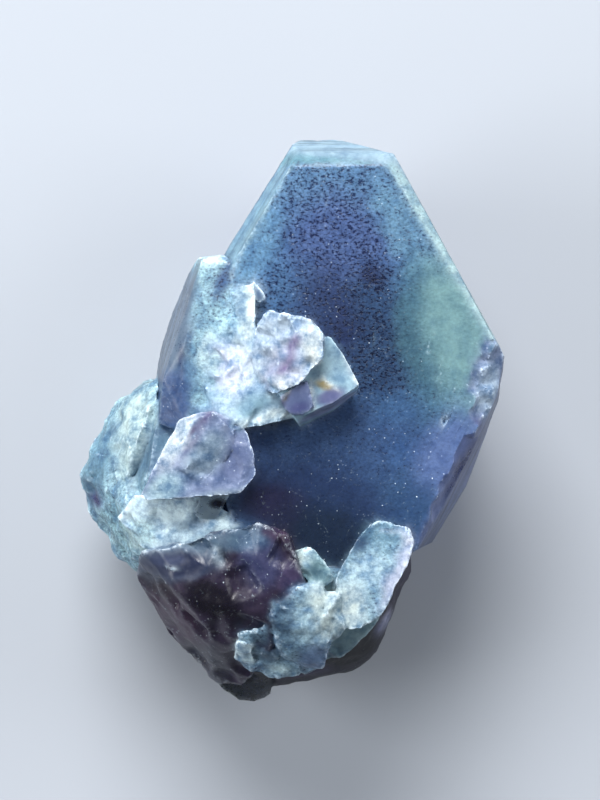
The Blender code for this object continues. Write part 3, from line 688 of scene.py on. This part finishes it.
chunk_zones = zoned("#3b3149", (0.5, 0.2, 0.2, 1.0), [
    ("#4f3850", (0.5, 0.2, 0.2, 0.8), (-12, -18.4), (1.6, 4.4), 40, 0.8),
    ("#565358", (0.45, 0.2, 0.3, 0.5), (-13.8, -15.6), (1.2, 3), 45, 0.7),
    ("#5b5d66", (0.45, 0.2, 0.3, 0.5), (-8.4, -24.4), (2.6, 2), -30, 0.7),
    ("#50557f", (0.45, 0.1, 0.3, 0.8), (-3, -13.4), (2, 2.8), 10, 0.8),
    ("#6a86a2", (0.35, 0.1, 0.4, 0.8), (-4.2, -11.2), (2.8, 1.2), 8, 0.9),
    ("#5b3d5c", (0.5, 0.1, 0.2, 0.4), (-1.6, -10.9), (1.2, 0.6), -20, 0.8),
    ("#52496e", (0.45, 0.1, 0.3, 0.5), (0.2, -15.6), (1.2, 2.2), 20, 0.8),
    ("#56728a", (0.4, 0.1, 0.3, 0.8), (-8, -11.8), (3.6, 1), 8, 0.9),
    ("#1c1826", (0.75, 0.1, 0.0, 0.8), (-7.6, -17.6), (3, 1.6), -25, 0.8),
    ("#8ba3b6", FROSTED, (-11.8, -13.7), (4.2, 1.7), 3, 0.9),
    ("#343e5e", (0.55, 0.0, 0.0, 0.1), (-11.5, -14.1), (4.2, 1.5), 3, 1.0),
    ("#4a587e", (0.45, 0.0, 0.0, 0.1), (-12.4, -13.6), (2, 0.6), 6, 0.6),
    ("#c9d8e0", FROSTED, (-7.2, -13.2), (0.4, 1), 20, 0.9),
    ("#dcebf0", FROSTED, (-11.7, -14.4), (0.7, 0.1), -14, 0.8),
    ("#dcebee", FROSTED, (-10.5, -11.6), (0.6, 0.2), 30, 0.9),
], drift=0.35, soft=0.35)


def dark_chunk():
    chunk = crystal([
        (-15.3, -13.6, 18), (-14.7, -12.8, 19.6), (-13, -12.5, 21), (-6, -10.4, 23.4),
        (-3.2, -9.7, 24), (-1.8, -10.1, 24), (-0.4, -10.9, 23.8),
        (0.6, -13.4, 23.8), (1.6, -16.4, 23.4), (-2.2, -19, 23.4), (-2, -22.6, 21),
        (-4.5, -26.4, 14), (-7.4, -26.5, 12), (-9.4, -24.4, 12), (-11.9, -21.6, 13),
        (-13.9, -18, 14), (-15.4, -15.2, 15.4), (-10.6, -17.2, 21.4), (-8, -20.8, 20.4),
        (-12, -19, 4), (-8.4, -23.4, 2), (-2, -22, BELOW_BACK), (-9, -14, BELOW_BACK), (2, -14, 2)])
    return grown(chunk, chunk_zones, [("cleaved", 4.2, 0.6), ("waves", 3.4, 0.4)], seed=23.3)


pieces.append(dark_chunk())

# ------------ the front crust
# Pale blue sugary fluorite on the dark block: a big rounded block, a translucent shard above
# it, a white chip on its left and a cream lump on its right.

crust_zones = zoned("#7898ac", POROUS, [
    ("#4c6983", (0.5, 0.3, 0.3, 0.4), (-0.6, -19), (1.4, 3), 10, 0.6),
    ("#a9c7d2", FROSTED, (2.2, -19.2), (1.6, 2.6), 0, 0.7),
    ("#3d5570", (0.6, 0.2, 0.2, 0.4), (-2.4, -22.6), (1.2, 1.4), 0, 0.7),
    ("#6f86b0", (0.5, 0.1, 0.2, 0.2), (2.6, -23.2), (1.6, 1.2), 20, 0.7),
    ("#bcd6da", FROSTED, (-0.6, -24.8), (2.2, 0.5), 0, 0.7),
    ("#cfdfdb", FROSTED, (3.6, -18.4), (1.6, 3), 0, 0.9),
], drift=0.7)


def front_crust():
    block = crystal([
        (-1.6, -17, 23.6), (1, -16, 24), (3, -15.8, 23.4), (4.3, -18, 23.4),
        (4.1, -21.4, 23), (3.4, -24.2, 21), (1.5, -25.1, 19), (-1.3, -22.4, 22),
        (-1.9, -19.1, 23.4), (-1, -18, 14), (3.4, -17, 14), (2.6, -24, 13), (-1, -23.4, 13)])
    shard = crystal([
        (0.2, -12.8, 22.8), (1.8, -12.1, 23.6), (2.7, -12.7, 23.6), (4.2, -14.9, 23.4),
        (4.6, -15.4, 23.2), (2.6, -16.6, 23.2), (0.8, -14.6, 23.2), (1.4, -13.6, 19), (3.6, -15.4, 19)])
    chip = crystal([
        (-5.4, -21.6, 21.4), (-3.9, -21.9, 21.8), (-3.6, -24, 19.6), (-5.6, -23.6, 19.2),
        (-4.8, -22, 15), (-4, -23.6, 14)])
    lump = crystal([
        (2.6, -16.6, 23), (4.9, -16.6, 23.2), (5.6, -20.4, 22.8), (3.9, -21.8, 22.4),
        (2.2, -20.6, 22.8), (3.8, -18.6, 24.2), (3, -18, 18), (5, -20.4, 18)])
    root = crystal([
        (0.4, -13.8, 21.8), (4.8, -14.6, 21.6), (6.4, -17, 21.4), (5, -21.2, 20.8),
        (0, -21, 20.8), (-1, -16, 21.6), (1, -13, 8), (8, -14, 8), (6, -21, 8), (-2, -22, 8)])
    skirt = crystal([
        (-5.2, -20.9, 21.6), (-2, -19.8, 22.6), (0.6, -21, 22.8), (1, -25, 19.4),
        (-2.4, -25.6, 18.6), (-5, -24.2, 19), (-4.4, -22, 14), (0, -21.6, 14),
        (0, -24.4, 13), (-4.2, -23.8, 13)])
    shard_zones = zoned("#9dc4cc", (0.4, 0.1, 0.4, 0.5), [
        ("#d4e9e8", FROSTED, (1.2, -13.2), (1, 0.9), -40, 0.9),
        ("#5f8898", (0.6, 0.1, 0.2, 0.4), (2.6, -14.8), (0.7, 0.8), 0, 0.8)])
    sugar = [("cleaved", 2.6, 0.35), ("cleaved", 1.3, 0.2), ("waves", 1.4, 0.2)]
    return [grown(root, crust_zones, [("waves", 2.4, 0.5)], MIDDLING, seed=27.3),
            grown(block, crust_zones, sugar, seed=29.3, spin=30),
            grown(skirt, crust_zones, sugar, seed=30.3, spin=10),
            grown(shard, shard_zones, [("cleaved", 1.4, 0.3)], seed=31.3),
            grown(chip, zoned("#c6dbe0", FROSTED), [("cleaved", 1.0, 0.3)], seed=33.3),
            grown(lump, zoned("#b6c8c8", FROSTED), sugar, seed=35.3)]


pieces += front_crust()

# ------------ the wing flake
# A pale wing-shaped flake at the lower right, finely pitted, with a thick lavender-white rim
# on its right, and a clear grey-green ledge beneath it.

wing_zones = zoned("#86a9ba", POROUS, [
    ("#3e5f86", (0.6, 0.2, 0.2, 0.7), (6.8, -11.8), (1.2, 0.8), 45, 0.9),
    ("#6f9ab2", (0.5, 0.3, 0.3, 0.5), (8.8, -10.8), (2.6, 0.8), -8, 0.7),
    ("#5d8ba8", (0.5, 0.2, 0.3, 0.3), (6, -17.2), (1.2, 0.8), 60, 0.7),
    ("#c2dbe4", FROSTED, (7.6, -14.6), (2.2, 1.6), 30, 0.6),
    ("#d4e2de", FROSTED, (5.6, -18.4), (2, 2.4), 10, 0.9),
    ("#c6cde2", (0.2, 0.05, 0.5, 0.2), (11.2, -14.2), (1, 4.6), -25, 0.95),
    ("#e4e6f0", (0.2, 0.05, 0.5, 0.2), (11.7, -11), (0.6, 0.9), 0, 0.8),
], drift=0.6)


def wing_flake():
    outline = [(4.6, -15.2), (5.6, -14.4), (5.8, -13), (6.8, -11.3), (8.2, -9.9), (9.1, -9.5),
               (11.9, -10.3), (12.4, -11.8), (11.9, -13.2), (11, -15.5), (9.7, -17),
               (9.2, -19), (7.5, -20.1), (5.7, -20.4), (4.5, -19)]
    wing = slab(outline, 22.4, 3.2, slope=(0.05, -0.06), taper=0.8)
    root = crystal([
        (5, -13, 20.6), (8.8, -10.8, 20.6), (11.2, -12, 20.6), (8.4, -18.6, 20.6),
        (5.2, -19.4, 20.6), (6, -13, 10), (10, -12, 10), (7, -18, 10)])
    ledge = crystal([
        (9.3, -17.4, 20.2), (9.1, -19.6, 19.6), (7, -21.7, 19), (5.2, -23.4, 18.4),
        (3.2, -24, 18), (3, -20, 20.6), (6.4, -17.6, 20.8), (8, -18.6, 12),
        (4.4, -22.6, 12), (3.6, -19, 12)])
    ledge_zones = zoned("#8fadb4", (0.4, 0.1, 0.3, 0.2), [
        ("#96a6bc", SATIN, (8.6, -17.4), (1, 1.2), 0, 0.7)])
    pocked = [("cleaved", 3.0, 0.25), ("pits", 0.9, 0.12), ("waves", 1.8, 0.12)]
    return [grown(wing, wing_zones, pocked, seed=37.3),
            grown(root, zoned("#4b5d7c", SATIN), (), MIDDLING),
            grown(ledge, ledge_zones, [("cleaved", 1.8, 0.3)], seed=39.3)]


pieces += wing_flake()

# ------------ the dark base
# Dark broken fluorite that carries the crust and the wing, nearly black: partly its own dark
# violet and partly painted shade beneath the other crystals. And the small grey clear tip at
# the very bottom.

# nearly black ground: the stone's dark violet, darkened further by painted shade
dark_and_shaded_base_zones = zoned("#0b0b14", (0.12, 0.1, 0.0, 0.2), [
    ("#3f3a50", (0.3, 0.1, 0.1, 0.2), (11.9, -15.4), (0.9, 4), -28, 0.8),
    ("#c9cbe6", FROSTED, (9.9, -19.7), (0.35, 0.8), -25, 0.95),
    ("#aeb2d8", FROSTED, (9.2, -20.8), (0.3, 0.3), 0, 0.9),
    ("#3b3358", (0.5, 0.1, 0.2, 0.2), (1.6, -25.4), (3, 0.6), 8, 0.8),
], drift=0.4)


def base_tint(place, normal):
    """The bruised rim, nearly black with painted shade, and below it the plain dark violet of the
    broken sides.
    """
    side_top, rim_foot = 10.6, 11.6
    tone, finish = dark_and_shaded_base_zones(place, normal)
    below = 1 - smooth_step(side_top, rim_foot, place.z)
    return mix(tone, linear("#17162a"), below), mix(finish, (0.3, 0.1, 0.0, 0.2), below)


def dark_base():
    base = crystal([
        (12.6, -12.4, 13), (12.5, -14.6, 12), (11.2, -18, 11), (10, -20.4, 11),
        (8.8, -22, 11), (8.6, -23.8, 10), (7.9, -24.6, 9.6), (4.8, -25.6, 9.6),
        (2.9, -26.1, 9.6), (-1.8, -27, 9.6), (-4, -25, 13), (4, -22, 18),
        (8, -18, 18), (11, -13, 18), (9, -14, BELOW_BACK),
        (5, -21, BELOW_BACK), (-2, -22, BELOW_BACK), (-4, -14, BELOW_BACK)])
    tip = crystal([
        (-8.4, -25.2, 11.4), (-7.2, -26.8, 10.4), (-6, -27.2, 10.4), (-5.2, -28.2, 9.8),
        (-4.2, -TOP, 9.4), (-3.1, -28.4, 9.4), (-2, -27.6, 9.4), (-1.6, -26.4, 10.6),
        (-3, -24.6, 13), (-4.4, -27.4, 6.6), (-6.6, -24, 4), (-2.4, -24.6, 5)])
    return [grown(base, base_tint, [("cleaved", 3.6, 0.3), ("waves", 2.4, 0.3)], MIDDLING, seed=41.3),
            grown(tip, zoned("#4b5054", (0.65, 0.1, 0.2, 0.1)), [("waves", 1.4, 0.25)], seed=43.3)]


pieces += dark_base()

# ------------ the whole cluster
# The crystals grew through each other as one solid: they are fused, and the back is one
# stepped cleavage plane on which the cluster lies.


def back_block():
    """Everything behind the back, whose top is stepped by the cleavage."""
    reach, depth, step = 34.0, 8.0, 0.3
    block = crystal([(x, y, z) for x in (-reach, reach) for y in (-reach, reach)
                     for z in (-depth, step)])
    return grown(block, zoned("#55618f", SATIN), [("cleaved", 5.0, 0.2)], seed=51.0)


def keep_outer_skin(mesh):
    """Fill the sealed pockets left between crystals: keep only the skin with most faces."""
    bm = bmesh.new()
    bm.from_mesh(mesh)
    bmesh.ops.triangulate(bm, faces=bm.faces)
    skins = []
    waiting = set(bm.faces)
    while waiting:
        reached = [waiting.pop()]
        skin = set(reached)
        while reached:
            face = reached.pop()
            for edge in face.edges:
                for neighbour in edge.link_faces:
                    if neighbour in waiting:
                        waiting.remove(neighbour)
                        skin.add(neighbour)
                        reached.append(neighbour)
        skins.append(skin)
    outer = max(skins, key=len)
    pockets = [face for skin in skins if skin is not outer for face in skin]
    bmesh.ops.delete(bm, geom=pockets, context="FACES")
    bm.to_mesh(mesh)
    bm.free()


def read_tints(mesh):
    """The tone and the finish of every point, side by side."""
    tints = np.empty((2, 4 * len(mesh.vertices)), np.float32)
    for row, name in zip(tints, ("tone", "finish")):
        mesh.attributes[name].data.foreach_get("color", row)
    return np.hstack([row.reshape(-1, 4) for row in tints])


def write_tints(mesh, tints):
    for name, columns in (("tone", tints[:, :4]), ("finish", tints[:, 4:])):
        mesh.attributes[name].data.foreach_set("color", columns.astype(np.float32).ravel())


def sum_of_neighbours(values, ends):
    """For every point, the values of the points that an edge joins it to, added up."""
    count = len(values)
    first, second = ends[:, 0], ends[:, 1]
    return np.stack([np.bincount(first, column[second], count)
                     + np.bincount(second, column[first], count) for column in values.T], axis=1)


def edge_ends(mesh):
    ends = np.empty(2 * len(mesh.edges), np.int32)
    mesh.edges.foreach_get("vertices", ends)
    return ends.reshape(-1, 2)


def carry_tints(mesh):
    """Tint the points that fusing adds along the joins from their tinted neighbours."""
    ends = edge_ends(mesh)
    tints = read_tints(mesh)
    tinted = (tints[:, 3:4] == TINTED).astype(float)
    while tinted.min() == 0:
        reached = sum_of_neighbours(tinted, ends)
        fresh = (tinted == 0) & (reached > 0)
        carried = sum_of_neighbours(tints * tinted, ends) / np.maximum(reached, 1)
        tints = np.where(fresh, carried, tints)
        tinted = np.maximum(tinted, fresh)
    tints[:, 3] = 1.0
    write_tints(mesh, tints)


def heal_seams(mesh):
    """Ease the joins in shape and in tint, as in crystals that grew through each other."""
    crease, crowded = -0.4, 0.07    # a joined edge bends in more, or is shorter
    pace, shape_rounds, tint_rounds = 0.5, 3, 5
    bm = opened(mesh)
    joined = np.array([edge.calc_face_angle_signed(0.0) < crease or edge.calc_length() < crowded
                       for edge in bm.edges])
    bm.free()
    ends = edge_ends(mesh)
    count = len(mesh.vertices)
    links = np.bincount(ends.ravel(), minlength=count)[:, None]

    def spread(near, share):
        return np.maximum(near, share * np.minimum(1.0, sum_of_neighbours(near, ends)))

    def ease(values, near, rounds):
        for _ in range(rounds):
            values = values + pace * near * (sum_of_neighbours(values, ends) / links - values)
        return values

    near = np.zeros((count, 1))
    near[ends[joined].ravel()] = 1.0
    near = spread(near, 0.6)
    places = ease(np.array([v.co for v in mesh.vertices]), near, shape_rounds)
    mesh.vertices.foreach_set("co", places.astype(np.float32).ravel())
    write_tints(mesh, ease(read_tints(mesh), spread(near, 0.9), tint_rounds))


def mark_wear_and_painted_light(mesh):
    """Store how sharp each point stands out, 0.5 being flat, for bruised edges that also carry a
    painted highlight, and for painted shade in crevices.
    """
    flat, contrast, rounds = 0.5, 1.6, 2
    bm = opened(mesh)
    lengths = np.array([edge.calc_length() for edge in bm.edges])
    bends = lengths * np.array([edge.calc_face_angle_signed(0.0) for edge in bm.edges])
    bm.free()
    ends = edge_ends(mesh)
    links, reach, wear = (np.bincount(ends.ravel(), np.repeat(weights, 2))[:, None]
                          for weights in (np.ones(len(ends)), lengths, bends))
    wear = wear / reach
    for _ in range(rounds):
        wear = 0.5 * wear + 0.5 * sum_of_neighbours(wear, ends) / links
    wear = np.clip(flat + contrast * wear, 0.0, 1.0)
    layer = mesh.attributes.new("wear", "FLOAT", "POINT")
    layer.data.foreach_set("value", wear.astype(np.float32).ravel())


def etched_fluorite():
    """Glassy blue-violet fluorite, etched dull in some zones and frosted white in others.

    Sizes are in mm. A MapRange takes 0 from between 1 and 2 to between 3 and 4.
    """
    pit_width, pit_length, glint_gap, frost_grain, veil_size = 0.23, 0.31, 0.45, 0.35, 1.4
    crack_size, band_length, band_height, relief_depth = 3.0, 12.0, 0.8, 0.12
    murk_per_metre = 60.0
    stone = bpy.data.materials.new("etched_fluorite")
    stone.use_nodes = True
    tree = stone.node_tree
    add = partial(add_node, tree)
    shader = tree.nodes["Principled BSDF"]
    shader.inputs["IOR"].default_value = 1.434

    place = add("TexCoord", {}, "Object")
    place = add("VectorMath", {"operation": "SCALE", 0: place, "Scale": 1 / METRE})
    tone = add("Attribute", {"attribute_name": "tone"}, "Color")
    wear = add("Attribute", {"attribute_name": "wear"}, "Fac")
    finish = add("Attribute", {"attribute_name": "finish"}, "Color")
    glints = finish.node.outputs["Alpha"]
    clarity = add("SeparateColor", {"Color": finish}, "Red")
    specks, frost = clarity.node.outputs["Green"], clarity.node.outputs["Blue"]

    # etch pits: short dark dashes that lie along the growth lines
    stretched = add("VectorMath", {
        "operation": "MULTIPLY", 0: place, 1: (1 / pit_length, 1 / pit_width, 1 / pit_width)})
    pits = add("TexNoise", {
        "Vector": stretched, "Scale": 1.0, "Detail": 2.0, "Roughness": 0.6}, "Fac")
    pit = add("Math", {"operation": "MULTIPLY_ADD", 0: specks, 1: 0.25, 2: pits})
    pit = add("MapRange", {0: pit, 1: 0.77, 2: 0.87})
    etched = add("MapRange", {0: pits, 1: 0.3, 2: 0.7, 3: 1.7, 4: 0.5})

    # painted glints: pale specks that stand for dust and for highlights on tiny chips that catch the
    # light, gathered in loose drifts
    veils = add("TexNoise", {
        "Vector": place, "Scale": 1 / veil_size, "Detail": 5.0, "Roughness": 0.6}, "Fac")
    dust_and_glint_cells = add("TexVoronoi", {"Vector": place, "Scale": 1 / glint_gap}, "Distance")
    lit = add("SeparateColor", {"Color": dust_and_glint_cells.node.outputs["Color"]}, "Green")
    lit = add("MapRange", {0: lit, 1: 0.62, 2: 0.92})
    drifts = add("MapRange", {0: veils, 1: 0.42, 2: 0.62, 3: 0.3, 4: 1.3})
    painted_glint = add("MapRange", {0: dust_and_glint_cells, 1: 0.19, 2: 0.07})
    for share in (lit, glints, drifts):
        painted_glint = add("Math", {"operation": "MULTIPLY", 0: painted_glint, 1: share})

    # frost and veils: crumbly grain, and clouds inside the stone
    crumbs = add("TexNoise", {
        "Vector": place, "Scale": 1 / frost_grain, "Detail": 5.0, "Roughness": 0.7}, "Fac")
    grain = add("MapRange", {0: crumbs, 1: 0.25, 2: 0.75, 3: 0.70, 4: 1.2})
    cloud = add("MapRange", {0: veils, 1: 0.34, 2: 0.60, 3: 0.9, 4: 0.0})
    milky = add("MapRange", {0: frost, 2: 0.5, 3: 0.3, 4: 1.0})
    cloud = add("Math", {"operation": "MULTIPLY", 0: cloud, 1: milky})

    # wear and painted light: painted shade in the crevices, and pale bruised edges that partly carry a
    # painted highlight
    painted_crevice_shade = add("MapRange", {0: wear, 1: 0.36, 2: 0.05, 3: 0.0, 4: 0.3})
    # pale edges: partly bruised, chipped wear and partly a painted highlight along sharp edges
    bruise_and_edge_highlight = add("MapRange", {0: wear, 1: 0.60, 2: 0.90, 3: 0.0, 4: 0.8})
    brittle = add("MapRange", {0: frost, 2: 0.5, 3: 0.12, 4: 0.8})
    patchy = add("MapRange", {0: crumbs, 1: 0.42, 2: 0.56})
    for share in (brittle, patchy):
        bruise_and_edge_highlight = add("Math", {"operation": "MULTIPLY", 0: bruise_and_edge_highlight, 1: share})

    # fractures: hair-thin bright lines that come and go
    cracks = add("TexNoise", {
        "Vector": place, "Scale": 1 / crack_size, "Detail": 2.0, "Distortion": 0.5}, "Fac")
    crack = add("Math", {"operation": "SUBTRACT", 0: cracks, 1: 0.5})
    crack = add("Math", {"operation": "ABSOLUTE", 0: crack})
    crack = add("MapRange", {0: crack, 1: 0.010, 2: 0.002})
    shown = add("MapRange", {0: crumbs, 1: 0.52, 2: 0.78})
    for share in (shown, glints):
        crack = add("Math", {"operation": "MULTIPLY", 0: crack, 1: share})

    # growth bands: thin paler and darker layers that show edge on, down the steep sides
    layered = add("VectorMath", {
        "operation": "MULTIPLY", 0: place, 1: (1 / band_length, 1 / band_length, 1 / band_height)})
    bands = add("TexNoise", {
        "Vector": layered, "Scale": 1.0, "Detail": 3.0, "Roughness": 0.6}, "Fac")
    band = add("MapRange", {0: bands, 1: 0.35, 2: 0.65, 3: 0.55, 4: 1.35})
    facing = add("NewGeometry", {}, "Normal")
    facing = add("SeparateXYZ", {0: facing}, "Z")
    facing = add("Math", {"operation": "ABSOLUTE", 0: facing})
    steep = add("MapRange", {0: facing, 1: 0.55, 2: 0.25})

    colour = tone
    for mode, share, laid in (
            ("MULTIPLY", cloud, (*linear("#7f9fc0"), 1.0)),
            ("MULTIPLY", frost, grain),
            ("MULTIPLY", steep, band),
            ("MULTIPLY", specks, etched),
            ("MULTIPLY", pit, (0.26, 0.31, 0.50, 1.0)),
            # painted shade in the crevices
            ("MULTIPLY", painted_crevice_shade, (0.30, 0.38, 0.52, 1.0)),
            ("MIX", crack, (*linear("#c4dbe6"), 1.0)),
            # pale bruised edges, partly a painted edge highlight
            ("MIX", bruise_and_edge_highlight, (*linear("#dcebf3"), 1.0)),
            # painted glints: highlights on tiny chips, partly dust
            ("MIX", painted_glint, (*linear("#e6f4fb"), 1.0))):
        colour = add("Mix", {
            "data_type": "RGBA", "blend_type": mode, 0: share, 6: colour, 7: laid}, 2)
    tree.links.new(colour, shader.inputs["Base Color"])

    dull = add("MapRange", {0: clarity, 3: 0.58, 4: 0.12})
    uneven = add("MapRange", {0: crumbs, 1: 0.2, 2: 0.8, 3: -0.08, 4: 0.08})
    dull = add("Math", {"operation": "ADD", 0: dull, 1: uneven})
    tree.links.new(dull, shader.inputs["Roughness"])
    clear = clarity
    for mark in (bruise_and_edge_highlight, painted_glint):
        clear = add("Math", {"operation": "SUBTRACT", "use_clamp": True, 0: clear, 1: mark})
    tree.links.new(clear, shader.inputs["Transmission Weight"])

    etch = add("Math", {"operation": "MULTIPLY", 0: crumbs, 1: frost})
    hollow = add("Math", {"operation": "MULTIPLY", 0: pit, 1: 0.12})
    etch = add("Math", {"operation": "SUBTRACT", 0: etch, 1: hollow})
    steps = add("Math", {"operation": "MULTIPLY", 0: bands, 1: steep})
    etch = add("Math", {"operation": "ADD", 0: etch, 1: steps})
    relief = add("Bump", {"Strength": 0.7, "Distance": relief_depth * METRE, "Height": etch})
    tree.links.new(relief, shader.inputs["Normal"])

    murk = add("VolumeAbsorption", {
        "Color": (*linear("#9096c4"), 1.0), "Density": murk_per_metre})
    tree.links.new(murk, tree.nodes["Material Output"].inputs["Volume"])
    return stone


def fluorite_specimen():
    """The one piece: every crystal fused, its joins eased, in metres and in its material."""
    sharp_above = 32.0    # degrees
    specimen = combine(pieces[0], pieces[1:], "UNION")
    mesh = combine(specimen, [back_block()], "DIFFERENCE").data
    keep_outer_skin(mesh)
    carry_tints(mesh)
    heal_seams(mesh)
    mark_wear_and_painted_light(mesh)
    mesh.transform(Matrix.Scale(METRE, 4))
    mesh.materials.clear()
    mesh.materials.append(etched_fluorite())
    mesh.shade_smooth()
    mesh.set_sharp_from_angle(angle=math.radians(sharp_above))
    specimen.name = mesh.name = "fluorite_specimen"
    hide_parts("fluorite_cluster")
    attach(specimen, "root")


fluorite_specimen()
